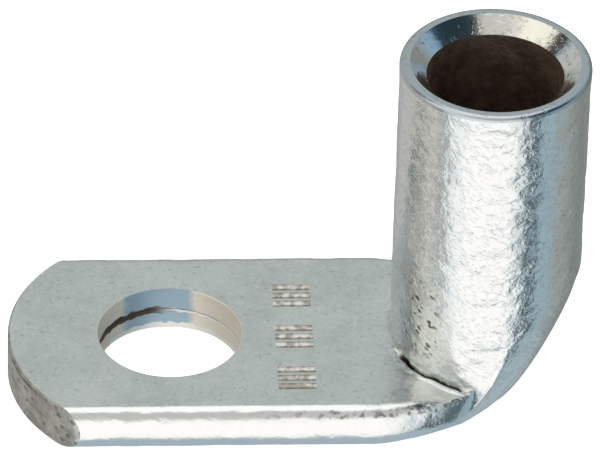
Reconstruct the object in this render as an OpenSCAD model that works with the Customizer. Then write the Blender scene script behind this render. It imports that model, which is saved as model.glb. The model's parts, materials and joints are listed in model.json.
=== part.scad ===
// Angled tube lug: one length of tinned copper tube, pressed flat at one end,
// punched for a stud and folded square, so that the barrel stands on the palm.
// Frame: +Z up the barrel, -X towards the rounded end, and the origin on the
// stud hole's axis at the palm's underside.

/* [Barrel] */
// Outside diameter of the tube
tube_od = 7; // [6.4:0.1:8]
// Wall of the tube, which leaves a bore for the conductor
wall = 1; // [0.85:0.05:1.2]
// Height of the mouth above the palm's underside
barrel_h = 14; // [12:0.1:20]
// Width of the flat rim left round the countersink
rim_w = 0.3; // [0.15:0.05:0.4]
// Depth of the countersink at the mouth
countersink_depth = 0.55; // [0.3:0.05:1]
// Rounding of the mouth's outer edge
mouth_round = 0.1; // [0.05:0.05:0.15]

/* [Palm] */
// Distance from the stud hole to the barrel's axis
stud_reach = 11.65; // [11:0.05:16]
// Distance from the stud hole to the tip of the rounded end
end_reach = 6; // [5:0.1:8]
// Radius of the rounded end, seen from above
end_r = 6.2; // [5.8:0.1:12]
// Diameter of the stud hole
stud_hole_d = 5.3; // [4.3:0.1:6.5]
// Thickness of the pressed palm as a share of two tube walls
press_ratio = 0.9; // [0.84:0.02:1]
// Gap left between the two pressed walls
seam_gap = 0.06; // [0.04:0.02:0.12]
// Drawn-in rounding of the stud hole's top edge
punch_draw = 0.12; // [0.06:0.02:0.2]

/* [Fold] */
// Height at which the heel leaves the back of the barrel
heel_rise = 5.35; // [4.4:0.05:6]
// Distance that the heel cuts in under the back of the barrel
heel_run = 2.5; // [1.8:0.05:2.8]
// Height of the tighter bend at each side of the barrel
side_rise = 3.1; // [1.6:0.1:4]
// Length of the tighter bend at each side of the barrel
side_run = 1.45; // [1:0.05:1.7]
// Fillet in the inside crease at the middle of the palm
crease_r = 0.35; // [0.2:0.05:0.5]
// Distance from the stud hole at which the palm starts to draw in
taper_x = 7.35; // [5.5:0.05:8]

/* [Hidden] */
$fn = 96;
tube_r = tube_od / 2;
bore_r = tube_r - wall;
stud_r = stud_hole_d / 2;
// The press keeps the tube's outer girth, and the palm's width follows from it
palm_t = 2 * wall * press_ratio;
palm_w = palm_t + PI * (tube_od - palm_t) / 2;
// The long edges are rounded, with the widest line just below half height.
// Towards the barrel the lower rounding grows and the upper one closes up.
edge_mid = 0.47 * palm_t;
under_in = 0.37 * palm_t;
under_in_barrel = 1.07 * palm_t;
over_in = 0.33 * palm_t;
over_in_barrel = 0.03 * palm_t;
seam_low = (palm_t - seam_gap) / 2;
seam_high = (palm_t + seam_gap) / 2;
// Below the barrel's axis the section is hardly wider than the tube
waist_ease = 0.02;
waist_in = palm_w / 2 - tube_r - waist_ease;
taper_power = 1.7;
// The inner skin turns inside the outer one at the back of the heel
inner_lift = 0.2 * wall;
inner_run = heel_run - 0.4 * wall;
// Exponents of the bend's curve: nearly straight at the back, rounder at the sides
back_curve = 1.66;
side_curve = 1.3;
// Sharpness with which the back's bend gives way to the sides' bend, in height and length
side_power = 2.3;
run_power = 2.4;
// The back of the heel keeps the tube's own width until it is nearly down at the
// palm's underside, and between these angles the sides come to spread evenly
back_fullness = 0.25;
full_from_angle = 62;
full_to_angle = 98;
// Angles round the tube of the section's lower and upper edges. The lower edge
// starts further underneath towards the barrel.
low_angle = 80;
low_barrel_angle = 62;
high_angle = 180 - low_angle;
// Angles between which the heel gives way to the crease at the barrel's sides,
// in height and in length
lift_from_angle = 73;
lift_to_angle = 103;
heel_from_angle = 85;
heel_to_angle = 101;
crease_side = 0.1;
// The folded skin ends a little way up inside the plain barrel
neck = 0.15;
barrel_z = heel_rise + inner_lift + neck;
lap = 0.2;
step_in = 0.01;
past_end = 1;
bend_steps = 12;
bend_spacing = 1.5;
taper_steps = 3;

function blend(t) = let (u = max(0, min(1, t))) u * u * (3 - 2 * u);
function mix(a, b, u) = a + (b - a) * u;

// Share of a flat side's half width at angle t: the lines keep the tube's own spacing
function spread(t, edge) = sin(t) / sin(edge);

// Progress of the palm's taper at x, from 0 on the plain palm to 1 at the barrel's axis
function taper(x) =
    pow(max(0, min(1, (x - taper_x) / (stud_reach - taper_x))), taper_power);

// Shares of the sides' bend at angle t, for its height and for its length, and
// the share of the heel as a whole
function rise_share(t) = pow(min(1, t / 90), side_power);
function run_share(t) = t < 90 ? pow(sin(t), run_power) : 1;
function fade(t, from, to) = 1 - blend((t - from) / (to - from));
function lift_share(t) = fade(t, lift_from_angle, lift_to_angle);
function heel_share(t) = fade(t, heel_from_angle, heel_to_angle);
function fullness(t) = mix(1, back_fullness, fade(t, full_from_angle, full_to_angle));
function crease_share(t) = max(0, min(1, (t - high_angle) / (180 - high_angle)));
function crease_size(t) = mix(crease_side, crease_r, pow(crease_share(t), 2));

// Outer section of the palm at x: [y, z] at angle t, 0 underneath and 180 on top
function outer_section(t, x) =
    let (
        w = palm_w / 2 - waist_in * taper(x),
        low = mix(low_angle, low_barrel_angle, taper(x)),
        under = mix(under_in, under_in_barrel, taper(x)),
        over = mix(over_in, over_in_barrel, taper(x))
    )
    t <= low ? [(w - under) * spread(t, low), 0] :
    t <= 90 ? let (a = 90 * (t - low) / (90 - low))
        [w - under + under * sin(a), edge_mid * (1 - cos(a))] :
    t <= high_angle ? let (a = 90 * (t - 90) / (high_angle - 90))
        [w - over + over * cos(a), edge_mid + (palm_t - edge_mid) * sin(a)] :
    [(w - over) * spread(t, high_angle), palm_t];

// Hairline section, at x, of the seam between the two pressed walls
function inner_section(t, x) =
    let (w = palm_w / 2 - waist_in * taper(x) - wall)
    t <= low_angle ? [w * spread(t, low_angle), seam_low] :
    t <= high_angle ?
        [w, mix(seam_low, seam_high, (t - low_angle) / (high_angle - low_angle))] :
    [w * spread(t, high_angle), seam_high];

function section(t, x, inner) = inner ? inner_section(t, x) : outer_section(t, x);

// One line of the skin, from inside the barrel down round the fold and out
// along the palm, at signed angle s from the back of the barrel
function skin_line(s, r, inner) =
    let (
        t = abs(s),
        side = s < 0 ? -1 : 1,
        u = rise_share(t),
        h = heel_share(t),
        start_x = stud_reach + r * cos(t),
        start_y = r * sin(t),
        back_rise = inner ? heel_rise + inner_lift - seam_low : heel_rise,
        flank_rise = inner ? side_rise + edge_mid - seam_low : side_rise,
        crease_rise = inner ? seam_low : crease_size(t),
        crease_run = inner ? wall : crease_size(t),
        rise = mix(crease_rise, mix(back_rise, flank_rise, u), lift_share(t)),
        back_run = inner ? inner_run : heel_run,
        run = mix(crease_run, mix(back_run, side_run, run_share(t)), h),
        curve = mix(1, mix(back_curve, side_curve, u), h),
        end_x = start_x - run,
        foot = section(t, end_x, inner),
        start_z = foot[1] + rise
    )
    [
        [start_x, side * start_y, barrel_z + lap],
        for (i = [0 : bend_steps])
            let (
                a = 90 * (1 - pow(1 - i / bend_steps, bend_spacing)),
                fx = pow(cos(a), curve),
                fy = inner ? fx : pow(fx, fullness(t)),
                fz = pow(sin(a), curve)
            )
            [mix(end_x, start_x, fx), side * mix(foot[0], start_y, fy), mix(start_z, foot[1], fz)],
        for (i = [1 : taper_steps])
            let (
                x = mix(end_x, taper_x, i / taper_steps),
                p = section(t, x, inner)
            )
            [x, side * p[0], p[1]],
        let (p = section(t, 0, inner))
            [-end_reach - past_end, side * p[0], p[1]]
    ];

outer_half = [
    for (a = [5 : 5 : 55]) a,
    for (a = [58 : 3 : 76]) a,
    for (a = [80 : 2.5 : 97.5]) a,
    for (a = [100 : 2 : 106]) a,
    for (a = [110 : 5 : 175]) a
];
inner_half = [
    for (a = [8 : 8 : 80]) a,
    for (a = [85 : 5 : 105]) a,
    for (a = [112 : 8 : 176]) a
];

// Both halves of the way round, as one closed run of signed angles
function whole_turn(half) =
    let (n = len(half))
    [0, each half, 180, for (i = [n - 1 : -1 : 0]) -half[i]];

// Closed solid bounded by the lines of a skin, each end closed round a middle point
module folded_skin(r, half, inner) {
    turn = whole_turn(half);
    lines = [for (s = turn) skin_line(s, r, inner)];
    n = len(lines);
    m = len(lines[0]);
    top_middle = n * m;
    end_middle = n * m + 1;
    polyhedron(
        points = [
            for (line = lines) each line,
            [stud_reach, 0, barrel_z + lap],
            [-end_reach - past_end, 0, palm_t / 2]
        ],
        faces = [
            for (i = [0 : n - 1])
                let (k = (i + 1) % n)
                each [
                    [top_middle, k * m, i * m],
                    for (j = [0 : m - 2])
                        [i * m + j, k * m + j, k * m + j + 1, i * m + j + 1],
                    [end_middle, i * m + m - 1, k * m + m - 1]
                ]
        ],
        convexity = 8
    );
}

// Plain round part of the barrel above the fold, with its mouth's outer edge rounded
module barrel() {
    translate([stud_reach, 0, 0])
        rotate_extrude()
            polygon([
                [0, barrel_z],
                [tube_r, barrel_z],
                for (a = [0 : 22.5 : 90])
                    [tube_r - mouth_round * (1 - cos(a)), barrel_h - mouth_round * (1 - sin(a))],
                [0, barrel_h]
            ]);
}

module bore() {
    translate([stud_reach, 0, barrel_z])
        cylinder(h = barrel_h, r = bore_r);
}

// Cone that opens the mouth to its flat rim
module countersink() {
    flare = tube_r - mouth_round - rim_w - bore_r;
    translate([stud_reach, 0, barrel_h - countersink_depth])
        cylinder(h = 2 * countersink_depth, r1 = bore_r, r2 = bore_r + 2 * flare);
}

module stud_hole() {
    translate([0, 0, -palm_t])
        cylinder(h = 3 * palm_t, r = stud_r);
    rotate_extrude()
        polygon([
            [0, palm_t - punch_draw],
            for (a = [0 : 30 : 90])
                [stud_r + punch_draw * (1 - cos(a)), palm_t - punch_draw * (1 - sin(a))],
            [stud_r + punch_draw, 2 * palm_t],
            [0, 2 * palm_t]
        ]);
}

// Waste cut away round the palm's arched end
module end_waste() {
    difference() {
        translate([-end_reach - 2 * past_end, -palm_w, -palm_t])
            cube([end_r + 2 * past_end, 2 * palm_w, 3 * palm_t]);
        translate([end_r - end_reach, 0, -2 * palm_t])
            cylinder(h = 5 * palm_t, r = end_r, $fn = 192);
    }
}

module lug() {
    color([0.79, 0.81, 0.81])
        difference() {
            union() {
                barrel();
                folded_skin(tube_r - step_in, outer_half, false);
            }
            bore();
            folded_skin(bore_r - step_in, inner_half, true);
            countersink();
            stud_hole();
            end_waste();
        }
}

lug();
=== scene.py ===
"""An angled tube lug of tinned copper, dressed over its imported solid."""
import json
import math

import bpy
from mathutils import Matrix, Vector


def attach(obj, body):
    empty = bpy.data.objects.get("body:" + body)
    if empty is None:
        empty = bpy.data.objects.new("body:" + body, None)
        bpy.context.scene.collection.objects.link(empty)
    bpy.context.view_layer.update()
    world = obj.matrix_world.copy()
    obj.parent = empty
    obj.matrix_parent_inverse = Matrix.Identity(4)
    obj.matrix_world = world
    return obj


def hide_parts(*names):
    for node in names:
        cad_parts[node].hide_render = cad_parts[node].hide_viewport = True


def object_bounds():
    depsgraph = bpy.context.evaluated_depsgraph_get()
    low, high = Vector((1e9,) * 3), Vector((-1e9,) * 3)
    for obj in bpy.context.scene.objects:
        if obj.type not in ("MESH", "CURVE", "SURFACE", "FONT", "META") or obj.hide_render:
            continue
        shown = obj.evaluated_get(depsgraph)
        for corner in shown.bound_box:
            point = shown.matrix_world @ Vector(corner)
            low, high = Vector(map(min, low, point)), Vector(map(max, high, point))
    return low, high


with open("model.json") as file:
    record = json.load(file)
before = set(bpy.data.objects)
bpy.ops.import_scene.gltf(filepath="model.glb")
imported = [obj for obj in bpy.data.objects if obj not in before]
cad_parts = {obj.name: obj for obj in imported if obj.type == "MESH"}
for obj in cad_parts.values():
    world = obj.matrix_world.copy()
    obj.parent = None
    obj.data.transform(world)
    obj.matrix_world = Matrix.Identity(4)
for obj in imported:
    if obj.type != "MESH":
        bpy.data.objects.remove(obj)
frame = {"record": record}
solid_low, solid_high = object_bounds()


# The lug is one length of copper tube. One end is pressed flat to make the palm,
# the palm is folded square against the barrel, and the tube's mouth is countersunk.
# Its skin is one closed sheet: out along the palm, round the fold, up the barrel,
# over the mouth, down the bore and back out between the palm's two pressed walls.
mm = 0.001
mounts = {mount["name"]: mount for mount in frame["record"]["mounts"]}
barrel_x = mounts["wire_barrel"]["pos_m"][0]

lug_sizes = {
    "Barrel axis": barrel_x,
    "Tube radius": solid_high.x - barrel_x,
    "Bore radius": mounts["wire_barrel"]["dims"]["r_mm"] * mm,
    "Barrel height": solid_high.z,
    "Mouth rounding": 0.2 * mm,
    "Rim width": 0.2 * mm,
    "Countersink depth": 0.55 * mm,
    "Palm half width": solid_high.y,
    "Palm thickness": mounts["stud_hole"]["dims"]["length_mm"] * mm,
    "Seam gap": 0.02 * mm,
    "End reach": -solid_low.x,
    "End radius": 6.2 * mm,
    "End edge": 0.07 * mm,
    "Stud radius": mounts["stud_hole"]["dims"]["r_mm"] * mm,
    "Punch draw": 0.06 * mm,
    "Punch burr": 0.06 * mm,
    "Heel rise": 5.35 * mm,
    "Heel run": 2.5 * mm,
    "Side rise": 3.1 * mm,
    "Side run": 1.45 * mm,
    "Crease fillet": 0.35 * mm,
    "Crease end fillet": 0.1 * mm,
    "Taper start": 7.35 * mm,
}


class Measure:
    """A number worked out over the surface by nodes, so that the rule reads as a formula."""

    def __init__(self, tree, socket):
        self.tree = tree
        self.socket = socket

    def __add__(self, other):
        return work("ADD", self, other)

    def __sub__(self, other):
        return work("SUBTRACT", self, other)

    def __rsub__(self, other):
        return work("SUBTRACT", other, self)

    def __mul__(self, other):
        return work("MULTIPLY", self, other)

    def __truediv__(self, other):
        return work("DIVIDE", self, other)

    def __pow__(self, other):
        return work("POWER", work("MAXIMUM", self, 0.0), other)

    __radd__ = __add__
    __rmul__ = __mul__


def work(operation, *values, clamp=False):
    """One sum of measures and plain numbers."""
    tree = next(value.tree for value in values if isinstance(value, Measure))
    node = tree.nodes.new("ShaderNodeMath")
    node.operation = operation
    node.use_clamp = clamp
    for value, place in zip(values, node.inputs):
        if isinstance(value, Measure):
            tree.links.new(value.socket, place)
        else:
            place.default_value = value
    return Measure(tree, node.outputs[0])


def held(value):
    return work("ADD", value, 0.0, clamp=True)


def mix(start, end, share):
    return start + (end - start) * share


def smooth(share):
    share = held(share)
    return share * share * (3.0 - 2.0 * share)


def sine(degrees):
    return work("SINE", degrees * (math.pi / 180))


def cosine(degrees):
    return work("COSINE", degrees * (math.pi / 180))


# The section's lower edge starts further underneath towards the barrel
low_edge, low_edge_barrel, high_edge = 80.0, 62.0, 100.0


def palm_taper(size, x):
    return held((x - size["Taper start"]) / (size["Barrel axis"] - size["Taper start"])) ** 1.7


def spread(turn):
    return sine(turn) * (1 / math.sin(math.radians(high_edge)))


def outer_section(size, turn, x):
    """Height and half width of the pressed tube's outside at a turn from its underside."""
    taper = palm_taper(size, x)
    thick = size["Palm thickness"]
    narrow = size["Palm half width"] - size["Tube radius"] - 0.02 * mm
    half = size["Palm half width"] - narrow * taper
    low = mix(low_edge, low_edge_barrel, taper)
    under = thick * mix(0.37, 1.07, taper)
    over = thick * mix(0.33, 0.03, taper)
    low_turn = held((turn - low) / (90.0 - low)) * 90.0
    high_turn = held((turn - 90.0) / 10.0) * 90.0
    below = (half - under) * sine(work("MINIMUM", turn, low)) / sine(low) + under * sine(low_turn)
    above = (half - over) * spread(work("MAXIMUM", turn, high_edge)) + over * cosine(high_turn)
    y = mix(below, above, work("GREATER_THAN", turn, 90.0))
    mid = thick * 0.47
    z = mid * (1.0 - cosine(low_turn)) + (thick - mid) * sine(high_turn)
    return y, z


def inner_section(size, turn, x):
    """The same for the seam that is left between the two pressed walls."""
    wall = size["Tube radius"] - size["Bore radius"]
    narrow = size["Palm half width"] - size["Tube radius"] - 0.02 * mm
    half = size["Palm half width"] - narrow * palm_taper(size, x) - wall
    off_edge = work("MAXIMUM", work("ABSOLUTE", turn - 90.0), 90.0 - low_edge)
    y = half * spread(90.0 - off_edge)
    side = held((turn - low_edge) / (high_edge - low_edge))
    z = size["Palm thickness"] * 0.5 + size["Seam gap"] * (side - 0.5)
    return y, z


def fold_ends(size, turn, inside):
    """Where a line of the skin leaves the round tube, where it lands on the palm, and how it curves."""
    radius = size["Bore radius" if inside else "Tube radius"]
    section = inner_section if inside else outer_section
    wall = size["Tube radius"] - size["Bore radius"]
    seam_low = (size["Palm thickness"] - size["Seam gap"]) * 0.5
    lift = 1.0 - smooth((turn - 73.0) / 30.0)
    heel = 1.0 - smooth((turn - 85.0) / 16.0)
    side_rise = work("MINIMUM", turn / 90.0, 1.0) ** 2.3
    side_run = sine(work("MINIMUM", turn, 90.0)) ** 2.4
    if inside:
        back_rise = size["Heel rise"] + 0.2 * wall - seam_low
        flank_rise = size["Side rise"] + size["Palm thickness"] * 0.47 - seam_low
        back_run = size["Heel run"] - 0.4 * wall
        crease_rise, crease_run = seam_low, wall
        fullness = 1.0
    else:
        back_rise = size["Heel rise"]
        flank_rise = size["Side rise"]
        back_run = size["Heel run"]
        crease = held((turn - high_edge) / 80.0) ** 2.0
        crease_rise = crease_run = mix(size["Crease end fillet"], size["Crease fillet"], crease)
        # The heel keeps the tube's own width until it is nearly down at the palm's underside
        fullness = mix(0.25, 1.0, smooth((turn - 62.0) / 36.0))
    rise = mix(crease_rise, mix(back_rise, flank_rise, side_rise), lift)
    run = mix(crease_run, mix(back_run, size["Side run"], side_run), heel)
    curve = mix(1.0, mix(1.66, 1.3, side_rise), heel)
    start_x = size["Barrel axis"] + radius * cosine(turn)
    start_y = radius * sine(turn)
    end_x = start_x - run
    end_y, end_z = section(size, turn, end_x)
    return start_x, start_y, end_z + rise, end_x, end_y, end_z, curve, fullness


def folded(size, turn, along, inside):
    """A point of the bend, from the palm at 0 to the round tube at 1."""
    ends = fold_ends(size, turn, inside)
    start_x, start_y, start_z, end_x, end_y, end_z, curve, fullness = ends
    swing = along**1.5 * 90.0
    level = sine(swing) ** curve
    upright = cosine(swing) ** curve
    return (
        mix(end_x, start_x, level),
        mix(end_y, start_y, level**fullness),
        mix(start_z, end_z, upright),
    )


def arched_end(size, y):
    """The x at which the rounded end cuts a line at y off the middle."""
    radius = size["End radius"]
    return radius - size["End reach"] - (radius * radius - y * y) ** 0.5


def steps(share, count):
    """Shares of each of count equal stages, one after the other."""
    return [held(share * float(count) - float(stage)) for stage in range(count)]


def skin_sheet(tree, columns, rows, place, zone):
    """A sheet of the skin that runs all the way round the tube, with its zone's number stored on it."""
    grid = tree.nodes.new("GeometryNodeMeshGrid")
    grid.inputs["Size X"].default_value = 1
    grid.inputs["Size Y"].default_value = 1
    grid.inputs["Vertices X"].default_value = columns
    grid.inputs["Vertices Y"].default_value = rows
    flat = tree.nodes.new("GeometryNodeInputPosition")
    parts = tree.nodes.new("ShaderNodeSeparateXYZ")
    tree.links.new(flat.outputs[0], parts.inputs[0])
    across = Measure(tree, parts.outputs[0])
    along = Measure(tree, parts.outputs[1]) + 0.5
    round_share = work("ABSOLUTE", across) * 2.0
    # A quarter of the columns follow the palm's long edges, where the skin turns sharply
    turn = (
        held(round_share / 0.3) * 80.0
        + held((round_share - 0.3) / 0.24) * 26.0
        + held((round_share - 0.54) / 0.46) * 74.0
    )
    x, y, z = place(turn, along)
    spot = tree.nodes.new("ShaderNodeCombineXYZ")
    for value, socket in zip((x, y * work("SIGN", across), z), spot.inputs):
        tree.links.new(value.socket, socket)
    moved = tree.nodes.new("GeometryNodeSetPosition")
    tree.links.new(grid.outputs["Mesh"], moved.inputs["Geometry"])
    tree.links.new(spot.outputs[0], moved.inputs["Position"])
    marked = tree.nodes.new("GeometryNodeStoreNamedAttribute")
    marked.data_type = "FLOAT"
    marked.domain = "FACE"
    marked.inputs["Name"].default_value = "zone"
    marked.inputs["Value"].default_value = zone
    tree.links.new(moved.outputs[0], marked.inputs["Geometry"])
    return marked.outputs[0]


def joined(tree, sheets):
    """Sheets sewn into one closed shell."""
    join = tree.nodes.new("GeometryNodeJoinGeometry")
    for sheet in reversed(sheets):
        tree.links.new(sheet, join.inputs[0])
    sewn = tree.nodes.new("GeometryNodeMergeByDistance")
    sewn.inputs["Distance"].default_value = 0.0004 * mm
    tree.links.new(join.outputs[0], sewn.inputs["Geometry"])
    return sewn.outputs[0]


def patchy(tree, spot, scale, detail, low, high):
    """Soft patches of a noise, 0 below the low bound and 1 above the high one."""
    noise = tree.nodes.new("ShaderNodeTexNoise")
    noise.inputs["Scale"].default_value = scale / mm
    noise.inputs["Detail"].default_value = detail
    tree.links.new(spot, noise.inputs["Vector"])
    return smooth((Measure(tree, noise.outputs["Fac"]) - low) / (high - low))


def worn(tree, size, skin):
    """Skin with the marks of the press: dents all round, a torn crease and slumped corners."""
    here = tree.nodes.new("GeometryNodeInputPosition").outputs[0]
    parts = tree.nodes.new("ShaderNodeSeparateXYZ")
    tree.links.new(here, parts.inputs[0])
    x, y, z = (Measure(tree, parts.outputs[i]) for i in range(3))
    normal = tree.nodes.new("GeometryNodeInputNormal").outputs[0]
    facing = tree.nodes.new("ShaderNodeSeparateXYZ")
    tree.links.new(normal, facing.inputs[0])
    off_axis = x - size["Barrel axis"]
    radius = (off_axis * off_axis + y * y) ** 0.5
    thick = size["Palm thickness"]

    # Long shallow dents, drawn out across the tube's length
    drawn = tree.nodes.new("ShaderNodeVectorMath")
    drawn.operation = "MULTIPLY"
    drawn.inputs[1].default_value = (1.0, 1.0, 1.7)
    tree.links.new(here, drawn.inputs[0])
    dents = patchy(tree, drawn.outputs[0], 1.15, 2.0, 0.42, 0.66)
    swells = patchy(tree, here, 0.3, 1.0, 0.3, 0.7)
    outside = held((radius - size["Tube radius"] * 0.93) / (0.05 * mm))
    below_mouth = held((size["Barrel height"] - 0.25 * mm - z) / (0.5 * mm))
    off_palm = held((z - thick - 0.1 * mm) / (0.5 * mm))
    on_barrel = outside * below_mouth * off_palm
    on_edge = held((work("ABSOLUTE", y) - size["Palm half width"] + 0.75 * mm) / (0.3 * mm))
    on_edge = on_edge * (1.0 - off_palm)
    depth = (
        on_barrel * (dents * 0.022 + swells * 0.02)
        + on_edge * (dents * 0.016 + swells * 0.012)
    ) * mm

    # The palm's corners slump towards the crease's ends
    corner = smooth((x - 8.7 * mm) / (1.5 * mm)) * (1.0 - held((x - 10.9 * mm) / (0.5 * mm)))
    flank = smooth((work("ABSOLUTE", y) - 2.5 * mm) / (1.3 * mm))
    on_top = held((Measure(tree, facing.outputs[2]) - 0.5) / 0.3) * held((z - thick * 0.9) / (0.05 * mm))
    on_top = on_top * (1.0 - held((z - thick - 0.12 * mm) / (0.1 * mm)))
    slump = corner * flank * on_top * (0.2 * mm)

    # Torn line where the tube's wall closes on the palm
    around = radius - size["Tube radius"]
    wander = patchy(tree, here, 0.9, 2.0, 0.3, 0.7) * 0.1 + 0.06
    groove = smooth(1.0 - work("ABSOLUTE", around / mm - wander) / 0.09)
    low = 1.0 - held((z - thick - 0.3 * mm) / (0.06 * mm))
    bearing = work("ARCTAN2", work("ABSOLUTE", y), off_axis) * (180 / math.pi)
    stretch = smooth((bearing - 101.0) / 8.0) * (1.0 - smooth((bearing - 150.0) / 14.0))
    crease_groove_shade = groove * low * stretch * (patchy(tree, here, 1.6, 3.0, 0.34, 0.5) * 0.6 + 0.4)
    lips = smooth(1.0 - work("ABSOLUTE", work("ABSOLUTE", around / mm - wander) - 0.18) / 0.09)
    tear = (crease_groove_shade * 0.2 - lips * low * stretch * 0.04) * mm

    inward = tree.nodes.new("ShaderNodeVectorMath")
    inward.operation = "SCALE"
    tree.links.new(normal, inward.inputs[0])
    tree.links.new((0.0 - depth - tear).socket, inward.inputs["Scale"])
    fall = tree.nodes.new("ShaderNodeCombineXYZ")
    tree.links.new((0.0 - slump).socket, fall.inputs[2])
    moved_by = tree.nodes.new("ShaderNodeVectorMath")
    moved_by.operation = "ADD"
    tree.links.new(inward.outputs[0], moved_by.inputs[0])
    tree.links.new(fall.outputs[0], moved_by.inputs[1])
    pressed = tree.nodes.new("GeometryNodeSetPosition")
    tree.links.new(moved_by.outputs[0], pressed.inputs["Offset"])
    # The crease groove is also stored on the skin, for the painted shade in the crease
    marked = tree.nodes.new("GeometryNodeStoreNamedAttribute")
    marked.data_type = "FLOAT"
    marked.domain = "POINT"
    marked.inputs["Name"].default_value = "crease_groove_shade"
    tree.links.new(crease_groove_shade.socket, marked.inputs["Value"])
    tree.links.new(skin, marked.inputs["Geometry"])
    tree.links.new(marked.outputs[0], pressed.inputs["Geometry"])
    return pressed.outputs[0]


def folded_tube_tree(sizes):
    tree = bpy.data.node_groups.new("Folded tube lug", "GeometryNodeTree")
    tree.interface.new_socket("Geometry", in_out="INPUT", socket_type="NodeSocketGeometry")
    tree.interface.new_socket("Geometry", in_out="OUTPUT", socket_type="NodeSocketGeometry")
    for name, value in sizes.items():
        socket = tree.interface.new_socket(name, in_out="INPUT", socket_type="NodeSocketFloat")
        socket.default_value = value
    tree.interface.new_socket("Material", in_out="INPUT", socket_type="NodeSocketMaterial")
    entry = tree.nodes.new("NodeGroupInput")
    size = {name: Measure(tree, entry.outputs[name]) for name in sizes}

    def palm_outside(turn, along):
        y, z = outer_section(size, turn, size["Taper start"] * 0.0)
        edge = size["End edge"]
        first = arched_end(size, y) + edge
        return mix(first, size["Taper start"], along), y, z

    def taper_outside(turn, along):
        end_x = fold_ends(size, turn, False)[3]
        x = mix(size["Taper start"], end_x, along)
        return (x, *outer_section(size, turn, x))

    def fold_outside(turn, along):
        return folded(size, turn, along, False)

    def barrel_outside(turn, along):
        start_x, start_y, start_z = fold_ends(size, turn, False)[:3]
        top = size["Barrel height"] - size["Mouth rounding"]
        return start_x, start_y, mix(start_z, top, along)

    def mouth(turn, along):
        lip, rim, cone = steps(along, 3)
        rounding = size["Mouth rounding"]
        flare = size["Tube radius"] - rounding - size["Rim width"] - size["Bore radius"]
        radius = (
            size["Tube radius"]
            - rounding * (1.0 - cosine(lip * 90.0))
            - size["Rim width"] * rim
            - flare * cone
        )
        z = (
            size["Barrel height"]
            - rounding * (1.0 - sine(lip * 90.0))
            - size["Countersink depth"] * cone
        )
        return size["Barrel axis"] + radius * cosine(turn), radius * sine(turn), z

    def bore(turn, along):
        start_x, start_y, start_z = fold_ends(size, turn, True)[:3]
        top = size["Barrel height"] - size["Countersink depth"]
        return start_x, start_y, mix(top, start_z, along)

    def fold_inside(turn, along):
        return folded(size, turn, 1.0 - along, True)

    def seam(turn, along):
        end_x = fold_ends(size, turn, True)[3]
        y_end = inner_section(size, turn, size["Taper start"] * 0.0)[0]
        x = mix(end_x, arched_end(size, y_end), along)
        return (x, *inner_section(size, turn, x))

    def end_face(turn, along):
        inner_y, inner_z = inner_section(size, turn, size["Taper start"] * 0.0)
        outer_y, outer_z = outer_section(size, turn, size["Taper start"] * 0.0)
        face, corner = steps(along, 2)
        edge = size["End edge"]
        thick = size["Palm thickness"]
        middle = thick * 0.47
        near = 1.0 - edge * 2.0 / thick
        face_y = outer_y * (1.0 - edge / size["Palm half width"])
        face_z = middle + (outer_z - middle) * near
        y = mix(mix(inner_y, face_y, face), outer_y, corner)
        z = mix(mix(inner_z, face_z, face), outer_z, corner)
        return arched_end(size, y) + edge * corner, y, z

    columns = 241
    skin = [
        skin_sheet(tree, columns, 90, palm_outside, 1),
        skin_sheet(tree, columns, 40, taper_outside, 1),
        skin_sheet(tree, columns, 44, fold_outside, 2),
        skin_sheet(tree, columns, 86, barrel_outside, 2),
        skin_sheet(tree, columns, 16, mouth, 3),
        skin_sheet(tree, columns, 14, bore, 4),
        skin_sheet(tree, columns, 16, fold_inside, 4),
        skin_sheet(tree, columns, 24, seam, 4),
        skin_sheet(tree, columns, 9, end_face, 5),
    ]
    blank = worn(tree, size, joined(tree, skin))

    def punch(turn, along):
        first, below, burr, wall, draw, above, last = steps(along, 7)
        draw_size, burr_size = size["Punch draw"], size["Punch burr"]
        depth = 1 * mm
        radius = (
            (size["Stud radius"] + burr_size) * first
            - burr_size * burr
            + draw_size * (1.0 - cosine(draw * 90.0))
            - (size["Stud radius"] + draw_size) * last
        )
        z = (
            -depth
            + depth * below
            + burr_size * burr
            + (size["Palm thickness"] - burr_size - draw_size) * wall
            + draw_size * sine(draw * 90.0)
            + depth * above
        )
        return radius * cosine(turn), radius * sine(turn), z

    punched = tree.nodes.new("GeometryNodeMeshBoolean")
    punched.operation = "DIFFERENCE"
    punched.solver = "MANIFOLD"
    tree.links.new(blank, punched.inputs[0])
    tree.links.new(joined(tree, [skin_sheet(tree, 181, 43, punch, 6)]), punched.inputs[1])

    # Plain bars pressed where the maker would mark the size
    for bar_y in (-3.3, -2.8, -2.3, -0.8, -0.3, 0.2, 1.7, 2.2, 2.7):
        bar = tree.nodes.new("GeometryNodeMeshCylinder")
        bar.inputs["Vertices"].default_value = 12
        bar.inputs["Radius"].default_value = 0.22 * mm
        bar.inputs["Depth"].default_value = 1.4 * mm
        laid = tree.nodes.new("GeometryNodeTransform")
        laid.inputs["Rotation"].default_value = (0, math.radians(90), 0)
        laid.inputs["Translation"].default_value = (4.6 * mm, bar_y * mm, 1.92 * mm)
        tree.links.new(bar.outputs["Mesh"], laid.inputs["Geometry"])
        tree.links.new(laid.outputs[0], punched.inputs[1])

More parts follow.
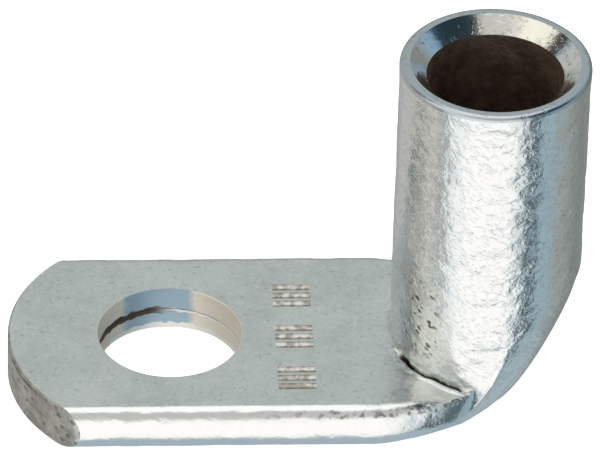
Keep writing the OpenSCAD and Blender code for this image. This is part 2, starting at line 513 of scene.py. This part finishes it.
    angle = tree.nodes.new("GeometryNodeInputMeshEdgeAngle")
    sharp = work("GREATER_THAN", Measure(tree, angle.outputs["Unsigned Angle"]), math.radians(32))
    rounded = tree.nodes.new("GeometryNodeSetShadeSmooth")
    tree.links.new(punched.outputs[0], rounded.inputs["Geometry"])
    creased = tree.nodes.new("GeometryNodeSetShadeSmooth")
    creased.domain = "EDGE"
    creased.inputs["Shade Smooth"].default_value = False
    tree.links.new(rounded.outputs[0], creased.inputs["Geometry"])
    tree.links.new(sharp.socket, creased.inputs["Selection"])
    real = tree.nodes.new("GeometryNodeRealizeInstances")
    tree.links.new(creased.outputs[0], real.inputs[0])
    dressed = tree.nodes.new("GeometryNodeSetMaterial")
    tree.links.new(real.outputs[0], dressed.inputs["Geometry"])
    tree.links.new(entry.outputs["Material"], dressed.inputs["Material"])
    leave = tree.nodes.new("NodeGroupOutput")
    tree.links.new(dressed.outputs[0], leave.inputs[0])
    return tree


# The tin is plated on, so one finish covers the whole lug: matte and finely grained on
# the pressed palm, brighter and dented on the tube, rough and grey on the cut end.
def socket_in(group, name, value, kind="NodeSocketFloat"):
    made = group.interface.new_socket(name, in_out="INPUT", socket_type=kind)
    made.default_value = value


def noise_at(tree, spot, scale, detail=2.0, roughness=0.5, twist=0.0):
    noise = tree.nodes.new("ShaderNodeTexNoise")
    noise.inputs["Detail"].default_value = detail
    noise.inputs["Roughness"].default_value = roughness
    noise.inputs["Distortion"].default_value = twist
    tree.links.new(spot, noise.inputs["Vector"])
    if isinstance(scale, Measure):
        tree.links.new(scale.socket, noise.inputs["Scale"])
    else:
        noise.inputs["Scale"].default_value = scale
    return Measure(tree, noise.outputs["Fac"])


def stretched(tree, spot, factors, turned=(0, 0, 0)):
    """A position whose pattern is drawn out by the factors along turned axes."""
    mapping = tree.nodes.new("ShaderNodeMapping")
    mapping.vector_type = "TEXTURE"
    mapping.inputs["Rotation"].default_value = [math.radians(a) for a in turned]
    mapping.inputs["Scale"].default_value = factors
    tree.links.new(spot, mapping.inputs["Vector"])
    return mapping.outputs[0]


def plated_grain():
    """Grain and orange peel of electroplated tin: a height and a mask of its dark pores."""
    group = bpy.data.node_groups.new("Plated grain", "ShaderNodeTree")
    socket_in(group, "Position", (0, 0, 0), "NodeSocketVector")
    socket_in(group, "Grain size mm", 0.12)
    socket_in(group, "Peel size mm", 0.4)
    socket_in(group, "Peel", 1.0)
    group.interface.new_socket("Height", in_out="OUTPUT", socket_type="NodeSocketFloat")
    group.interface.new_socket("Pores", in_out="OUTPUT", socket_type="NodeSocketFloat")
    group.interface.new_socket("Nicks", in_out="OUTPUT", socket_type="NodeSocketFloat")
    entry = group.nodes.new("NodeGroupInput")
    spot = entry.outputs["Position"]
    grain_size = Measure(group, entry.outputs["Grain size mm"])
    peel_size = Measure(group, entry.outputs["Peel size mm"])
    peel_share = Measure(group, entry.outputs["Peel"])
    grain = noise_at(group, spot, work("DIVIDE", 1000.0, grain_size), 3.0, 0.6)
    peel = noise_at(group, spot, work("DIVIDE", 1000.0, peel_size), 2.0, 0.5, 0.4)
    peel = smooth((peel - 0.3) / 0.4)
    slanted = stretched(group, spot, (1.25, 1.0, 0.8), (0, 35, 0))
    nicks = noise_at(group, slanted, work("DIVIDE", 2600.0, peel_size), 2.0, 0.5, 0.5)
    nicks = smooth((nicks - 0.48) / 0.2)
    height = grain * 0.3 + (peel * 0.9 - nicks * 0.45) * peel_share
    pores = smooth((noise_at(group, spot, work("DIVIDE", 700.0, grain_size), 2.0) - 0.6) / 0.12)
    leave = group.nodes.new("NodeGroupOutput")
    group.links.new(height.socket, leave.inputs["Height"])
    group.links.new(pores.socket, leave.inputs["Pores"])
    group.links.new(nicks.socket, leave.inputs["Nicks"])
    return group


def press_marks():
    """Marks left by handling and by the press: fine scratches, pits and stained patches."""
    group = bpy.data.node_groups.new("Press marks", "ShaderNodeTree")
    socket_in(group, "Position", (0, 0, 0), "NodeSocketVector")
    socket_in(group, "Pit size mm", 0.4)
    socket_in(group, "Pit share", 0.3)
    group.interface.new_socket("Scratches", in_out="OUTPUT", socket_type="NodeSocketFloat")
    group.interface.new_socket("Pits", in_out="OUTPUT", socket_type="NodeSocketFloat")
    group.interface.new_socket("Stain", in_out="OUTPUT", socket_type="NodeSocketFloat")
    entry = group.nodes.new("NodeGroupInput")
    spot = entry.outputs["Position"]
    pit_size = Measure(group, entry.outputs["Pit size mm"])
    pit_share = Measure(group, entry.outputs["Pit share"])
    scratches = None
    for turned, scale in ((28, 1500), (-40, 1900), (75, 1300)):
        drawn = stretched(group, spot, (6.0, 0.6, 1.0), (0, 0, turned))
        line = noise_at(group, drawn, float(scale), 1.0)
        line = 1.0 - smooth(work("ABSOLUTE", line - 0.5) / 0.014)
        where = noise_at(group, spot, float(scale) * 0.4, 1.0)
        line = line * smooth((where - 0.56) / 0.06)
        scratches = line if scratches is None else work("MAXIMUM", scratches, line)
    cells = group.nodes.new("ShaderNodeTexVoronoi")
    cells.inputs["Randomness"].default_value = 1.0
    wavy = stretched(group, spot, (1.0, 1.0, 0.7), (0, 35, 0))
    group.links.new(wavy, cells.inputs["Vector"])
    group.links.new(work("DIVIDE", 1000.0, pit_size).socket, cells.inputs["Scale"])
    chance = group.nodes.new("ShaderNodeSeparateColor")
    group.links.new(cells.outputs["Color"], chance.inputs[0])
    there = work("LESS_THAN", Measure(group, chance.outputs[0]), pit_share)
    ragged = noise_at(group, spot, 9000.0, 2.0) - 0.5
    reach = Measure(group, chance.outputs[1]) * 0.24 + 0.2
    distance = Measure(group, cells.outputs["Distance"]) + ragged * 0.35
    pits = there * smooth((reach - distance) / 0.09)
    stain = smooth((noise_at(group, spot, 420.0, 3.0, 0.6) - 0.42) / 0.26)
    leave = group.nodes.new("NodeGroupOutput")
    group.links.new(scratches.socket, leave.inputs["Scratches"])
    group.links.new(pits.socket, leave.inputs["Pits"])
    group.links.new(stain.socket, leave.inputs["Stain"])
    return group


def placed(tree, group, spot, **values):
    node = tree.nodes.new("ShaderNodeGroup")
    node.node_tree = group
    tree.links.new(spot, node.inputs["Position"])
    for name, value in values.items():
        socket = node.inputs[name.replace("_", " ")]
        if isinstance(value, Measure):
            tree.links.new(value.socket, socket)
        else:
            socket.default_value = value
    return {name: Measure(tree, node.outputs[name]) for name in node.outputs.keys()}


def tint(tree, share, first, second):
    """A colour between two, each a plain colour or the outcome of an earlier tint."""
    node = tree.nodes.new("ShaderNodeMix")
    node.data_type = "RGBA"
    tree.links.new(share.socket, node.inputs["Factor"])
    for colour, socket in ((first, node.inputs[6]), (second, node.inputs[7])):
        if isinstance(colour, tuple):
            socket.default_value = (*colour, 1)
        else:
            tree.links.new(colour, socket)
    return node.outputs[2]


tin = bpy.data.materials.new("tinned_copper")
tin.use_nodes = True
coat = tin.node_tree
tin_shader = coat.nodes["Principled BSDF"]
tin_shader.inputs["Metallic"].default_value = 1.0
where = coat.nodes.new("ShaderNodeTexCoord").outputs["Object"]
split = coat.nodes.new("ShaderNodeSeparateXYZ")
coat.links.new(where, split.inputs[0])
east_mm, north_mm, up_mm = (Measure(coat, split.outputs[i]) * 1000.0 for i in range(3))
zone_node = coat.nodes.new("ShaderNodeAttribute")
zone_node.attribute_name = "zone"
zone = Measure(coat, zone_node.outputs["Fac"])


def in_zone(number):
    return 1.0 - held((work("ABSOLUTE", zone - number) - 0.3) / 0.2)


mouth_zone, bore_zone, end_zone, wall_zone = (in_zone(float(n)) for n in (3, 4, 5, 6))
palm_mm = lug_sizes["Palm thickness"] * 1000
axis_mm = barrel_x * 1000
half_mm = lug_sizes["Palm half width"] * 1000
raised = smooth((up_mm - palm_mm - 0.05) / 0.5)
from_edge = half_mm - work("ABSOLUTE", north_mm)
long_edge = (1.0 - smooth((from_edge - 0.5) / 0.15)) * (1.0 - raised)
heel_zone = smooth((east_mm - axis_mm + 1.5) / 1.5)
bright = work("MAXIMUM", work("MAXIMUM", raised, long_edge), heel_zone, clamp=True)

grain = placed(
    coat, plated_grain(), where, Grain_size_mm=0.13, Peel_size_mm=0.44, Peel=(bright * 0.85 + 0.15) * (1.0 - mouth_zone * 0.8)
)
marks = placed(coat, press_marks(), where, Pit_size_mm=0.36, Pit_share=0.85)
off_axis = east_mm - axis_mm
from_axis = (off_axis * off_axis + north_mm * north_mm) ** 0.5
facing_front = smooth((0.0 - north_mm - 2.6) / 0.7)
patches = smooth((noise_at(coat, where, 1300.0, 4.0, 0.65) - 0.34) / 0.34)

# Pits gather low on the side of the tube that faces the stud hole, and on the cut end
pit_place = (
    (1.0 - smooth((work("ABSOLUTE", up_mm - 4.2) - 0.9) / 1.1))
    * (1.0 - smooth((work("ABSOLUTE", east_mm - axis_mm + 2.55) - 0.35) / 0.4))
    * raised
    * smooth((0.0 - north_mm - 0.5) / 0.5)
)
pits = marks["Pits"] * held(pit_place + end_zone * 0.7 + mouth_zone * 0.15)

# Painted shade in the crease, and the seam of the two walls as the punch has smeared it round the hole
crease_shade_node = coat.nodes.new("ShaderNodeAttribute")
crease_shade_node.attribute_name = "crease_groove_shade"
crease_groove_shade = smooth((Measure(coat, crease_shade_node.outputs["Fac"]) - 0.5) / 0.3)
ragged = noise_at(coat, where, 2600.0, 3.0) - 0.5
west = smooth((0.9 - east_mm) / 1.6)
seam_width = mix(0.03, 0.12, west)
off_seam = work("ABSOLUTE", up_mm - palm_mm * 0.47 + ragged * 0.35)
seam_line = wall_zone * (1.0 - smooth((off_seam - seam_width) / 0.05))
burr = wall_zone * smooth((0.3 - up_mm + ragged * 0.5) / 0.08)
# Painted reflection: the hole's wall turns blue on its two sides across the palm
hole_wall_blue_reflection = wall_zone * (1.0 - smooth((work("ABSOLUTE", east_mm + 0.35 + ragged * 0.5) - 1.05) / 0.4))
cone = mouth_zone * held((3.1 - from_axis) / 0.02)
# Painted shadow: a dark line along the top of the cut end, just under the palm's top edge
lip = work("ABSOLUTE", up_mm - palm_mm + 0.16 + ragged * 0.2)
end_top_shadow = end_zone * (1.0 - smooth((lip - 0.03) / 0.06)) * smooth((3.4 - work("ABSOLUTE", north_mm + 0.6)) / 1.2)
# Painted reflection: a mottled grey band just under the top corner of the palm's long edges
edge_grey_reflection = (
    smooth((0.16 - work("ABSOLUTE", up_mm - palm_mm + 0.25 + ragged * 0.2)) / 0.1)
    * (1.0 - smooth((from_edge - 0.75) / 0.1))
    * smooth((east_mm - 2.0) / 5.0)
    * (1.0 - smooth((east_mm - 10.6) / 0.6))
    * smooth((noise_at(coat, where, 4800.0, 2.0) - 0.5) / 0.1)
)

base = tint(coat, marks["Stain"], (0.66, 0.71, 0.70), (0.76, 0.80, 0.79))
base = tint(coat, patches * 0.5, base, (0.80, 0.83, 0.82))
nicked = grain["Nicks"] * (1.0 - long_edge * 0.7) * mix(1.0, 0.45, facing_front)
flecks = smooth((noise_at(coat, where, 6500.0, 2.0) - 0.5) / 0.16)
base = tint(coat, flecks * 0.5, base, (0.86, 0.88, 0.87))
base = tint(coat, bright, base, tint(coat, nicked, (0.83, 0.84, 0.835), (0.71, 0.72, 0.70)))
base = tint(coat, grain["Pores"] * (1.0 - bright) * 0.5, base, (0.45, 0.47, 0.46))
base = tint(coat, marks["Scratches"] * (1.0 - bright) * 0.4, base, (0.92, 0.94, 0.94))
# Painted reflection: the rounded lip and rim of the mouth darkened to a bluish grey
base = tint(coat, mouth_zone, base, (0.55, 0.61, 0.65))
base = tint(coat, cone, base, tint(coat, grain["Pores"], (0.84, 0.84, 0.80), (0.45, 0.46, 0.46)))
base = tint(coat, end_zone, base, tint(coat, patches, (0.36, 0.355, 0.33), (0.62, 0.61, 0.58)))
# Painted shadow along the top of the cut end
base = tint(coat, end_top_shadow * 0.85, base, (0.08, 0.065, 0.05))
# Painted shade in the pressed bars, lighter in random patches
bar_shade_patches = smooth((noise_at(coat, where, 3600.0, 3.0) - 0.4) / 0.2)
base = tint(coat, in_zone(0.0), base, tint(coat, bar_shade_patches, (0.34, 0.31, 0.26), (0.60, 0.59, 0.55)))
base = tint(coat, wall_zone, base, (0.86, 0.80, 0.70))
# Painted blue reflection on the hole's wall
base = tint(coat, hole_wall_blue_reflection, base, (0.42, 0.55, 0.64))
base = tint(coat, burr, base, (0.92, 0.90, 0.85))
base = tint(coat, seam_line * west, base, (0.13, 0.09, 0.06))
base = tint(coat, seam_line * (1.0 - west), base, (0.95, 0.94, 0.9))
base = tint(coat, bore_zone, base, tint(coat, patches, (0.30, 0.22, 0.18), (0.55, 0.42, 0.34)))
base = tint(coat, pits * 0.9, base, (0.16, 0.115, 0.08))
# Painted shade: the crease groove darkened nearly to black
base = tint(coat, crease_groove_shade, base, (0.10, 0.075, 0.055))
# Painted grey reflection band on the long edges
base = tint(coat, edge_grey_reflection, base, (0.36, 0.36, 0.35))
coat.links.new(base, tin_shader.inputs["Base Color"])

rough = mix(0.23, 0.2, bright) + marks["Stain"] * 0.04 + end_zone * 0.15 + pits * 0.2
rough = rough + bore_zone * 0.3 + wall_zone * 0.32 + mouth_zone * 0.04 - cone * 0.1 - marks["Scratches"] * 0.06
coat.links.new(held(rough).socket, tin_shader.inputs["Roughness"])

relief = coat.nodes.new("ShaderNodeBump")
relief.inputs["Strength"].default_value = 1.0
relief.inputs["Distance"].default_value = 0.012 * mm
shape = grain["Height"] * mix(1.0, 0.5, long_edge) - pits * 2.0
shape = shape - marks["Scratches"] * (1.0 - bright) * 0.25 - seam_line * 2.0
coat.links.new(shape.socket, relief.inputs["Height"])
coat.links.new(relief.outputs[0], tin_shader.inputs["Normal"])

lug_tree = folded_tube_tree(lug_sizes)
pattern = bpy.data.objects.new("lug_pattern", bpy.data.meshes.new("lug_pattern"))
bpy.context.collection.objects.link(pattern)
former = pattern.modifiers.new("Folded tube lug", "NODES")
former.node_group = lug_tree
for item in lug_tree.interface.items_tree:
    if item.in_out == "INPUT" and item.name in lug_sizes:
        former[item.identifier] = lug_sizes[item.name]
    if item.name == "Material":
        former[item.identifier] = tin
shaped = pattern.evaluated_get(bpy.context.evaluated_depsgraph_get())
lug = bpy.data.objects.new("tube_lug", bpy.data.meshes.new_from_object(shaped))
bpy.context.collection.objects.link(lug)
bpy.data.objects.remove(pattern)

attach(lug, "root")
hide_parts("lug")


# Camera at the photograph's place, found from the ellipses of the mouth and the stud hole.
turn_about, lift, roll = math.radians(-3.569), math.radians(36.676), math.radians(1.688)
camera_distance = 273.47 * mm
looked_at = Vector((4.721, 0, 6.583)) * mm
back = Vector((
    math.sin(turn_about) * math.cos(lift),
    -math.cos(turn_about) * math.cos(lift),
    math.sin(lift),
))
level = Vector((math.cos(turn_about), math.sin(turn_about), 0))
upward = back.cross(level)
right = level * math.cos(roll) + upward * math.sin(roll)
up = upward * math.cos(roll) - level * math.sin(roll)
camera_data = bpy.data.cameras.new("camera")
camera_data.sensor_fit = "HORIZONTAL"
camera_data.sensor_width = 36
camera_data.lens = 36 * 7448.8 / 600
camera_data.clip_start = 0.01
camera_data.clip_end = 10
camera = bpy.data.objects.new("camera", camera_data)
bpy.context.collection.objects.link(camera)
camera.matrix_world = (
    Matrix.Translation(looked_at + back * camera_distance)
    @ Matrix((right, up, back)).transposed().to_4x4()
)
bpy.context.scene.camera = camera


# White floor just under the palm. The lug mirrors the studio round it, not the floor.
floor_mesh = bpy.data.meshes.new("floor")
reach = 2.0
floor_mesh.from_pydata(
    [(-reach, -reach, 0), (reach, -reach, 0), (reach, reach, 0), (-reach, reach, 0)],
    [],
    [(0, 1, 2, 3)],
)
floor_mesh.transform(Matrix.Translation((0, 0, -0.02 * mm)))
floor = bpy.data.objects.new("floor", floor_mesh)
bpy.context.collection.objects.link(floor)
floor.visible_glossy = False
floor.visible_diffuse = False
paper = bpy.data.materials.new("white_paper")
paper.use_nodes = True
paper_shader = paper.node_tree.nodes["Principled BSDF"]
paper_shader.inputs["Base Color"].default_value = (0.9, 0.9, 0.9, 1)
paper_shader.inputs["Roughness"].default_value = 0.9
paper_shader.inputs["Emission Color"].default_value = (1, 1, 1, 1)
paper_shader.inputs["Emission Strength"].default_value = 0.75
floor_mesh.materials.append(paper)


# Soft light from all round: a white table in front, a grey wall behind, a cream
# light high on the left, white overhead, and blue and dark boards on the right.
world = bpy.data.worlds.new("studio")
bpy.context.scene.world = world
world.use_nodes = True
studio = world.node_tree
sky = studio.nodes["Background"]
direction = studio.nodes.new("ShaderNodeTexCoord")
compass = studio.nodes.new("ShaderNodeSeparateXYZ")
studio.links.new(direction.outputs["Generated"], compass.inputs[0])
east, north, height = (Measure(studio, compass.outputs[i]) for i in range(3))
# Bearing from the camera's side, positive to the right, as a share of a half turn
bearing = work("ARCTAN2", east, 0.0 - north) * (1 / math.pi)


def light_ramp(value, stops):
    """Colours of the light at stops along a value from 0 to 1."""
    ramp = studio.nodes.new("ShaderNodeValToRGB")
    ramp.color_ramp.interpolation = "EASE"
    points = ramp.color_ramp.elements
    points.remove(points[1])
    points[0].color = (*stops[0][1], 1)
    for place, colour in stops[1:]:
        points.new(place).color = (*colour, 1)
    studio.links.new(value.socket, ramp.inputs[0])
    return ramp.outputs[0]


def light_mix(share, first, second):
    node = studio.nodes.new("ShaderNodeMix")
    node.data_type = "RGBA"
    studio.links.new(share.socket, node.inputs["Factor"])
    for light, socket in ((first, node.inputs[6]), (second, node.inputs[7])):
        if isinstance(light, tuple):
            socket.default_value = (*light, 1)
        else:
            studio.links.new(light, socket)
    return node.outputs[2]


turn_share = held(bearing * 0.5 + 0.5)
low_light = light_ramp(turn_share, [
    (0.0, (0.34, 0.35, 0.34)),
    (0.1, (0.53, 0.54, 0.53)),
    (0.2, (0.58, 0.56, 0.51)),
    (0.288, (0.64, 0.62, 0.57)),
    (0.306, (0.33, 0.34, 0.34)),
    (0.328, (0.38, 0.42, 0.42)),
    (0.348, (0.95, 1.00, 1.02)),
    (0.42, (1.24, 1.21, 1.17)),
    (0.55, (1.22, 1.19, 1.17)),
    (0.59, (0.85, 0.92, 0.94)),
    (0.606, (0.36, 0.48, 0.54)),
    (0.616, (0.03, 0.05, 0.07)),
    (0.643, (0.03, 0.05, 0.07)),
    (0.655, (0.38, 0.54, 0.62)),
    (0.71, (0.35, 0.45, 0.50)),
    (0.74, (0.37, 0.40, 0.39)),
    (0.86, (0.24, 0.26, 0.25)),
    (1.0, (0.34, 0.35, 0.34)),
])
high_light = light_ramp(turn_share, [
    (0.0, (0.54, 0.57, 0.56)),
    (0.12, (0.54, 0.57, 0.56)),
    (0.165, (0.50, 0.56, 0.60)),
    (0.185, (0.04, 0.04, 0.04)),
    (0.215, (0.04, 0.04, 0.04)),
    (0.235, (1.05, 1.02, 0.92)),
    (0.32, (1.10, 1.06, 0.96)),
    (0.44, (0.62, 0.61, 0.58)),
    (0.58, (0.60, 0.59, 0.56)),
    (0.6, (0.02, 0.04, 0.05)),
    (0.765, (0.015, 0.035, 0.05)),
    (0.785, (0.25, 0.42, 0.60)),
    (0.83, (0.30, 0.42, 0.52)),
    (0.86, (0.50, 0.55, 0.54)),
    (1.0, (0.54, 0.57, 0.56)),
])
# White overhead comes lower down behind the lug than in front of it
behind = smooth(north * 1.6)
above = smooth((height - 0.2) / 0.25)
overhead = smooth((height - 0.875 + behind * 0.05) / 0.055)
beneath = smooth((height * -1.0 - 0.70) / 0.12)
sides = light_mix(above, low_light, high_light)
covered = light_mix(overhead, sides, (1.2, 1.2, 1.2))
studio.links.new(light_mix(beneath, covered, (0.42, 0.52, 0.58)), sky.inputs[0])
sky.inputs[1].default_value = 1.0
bpy.context.scene.view_settings.view_transform = "Standard"
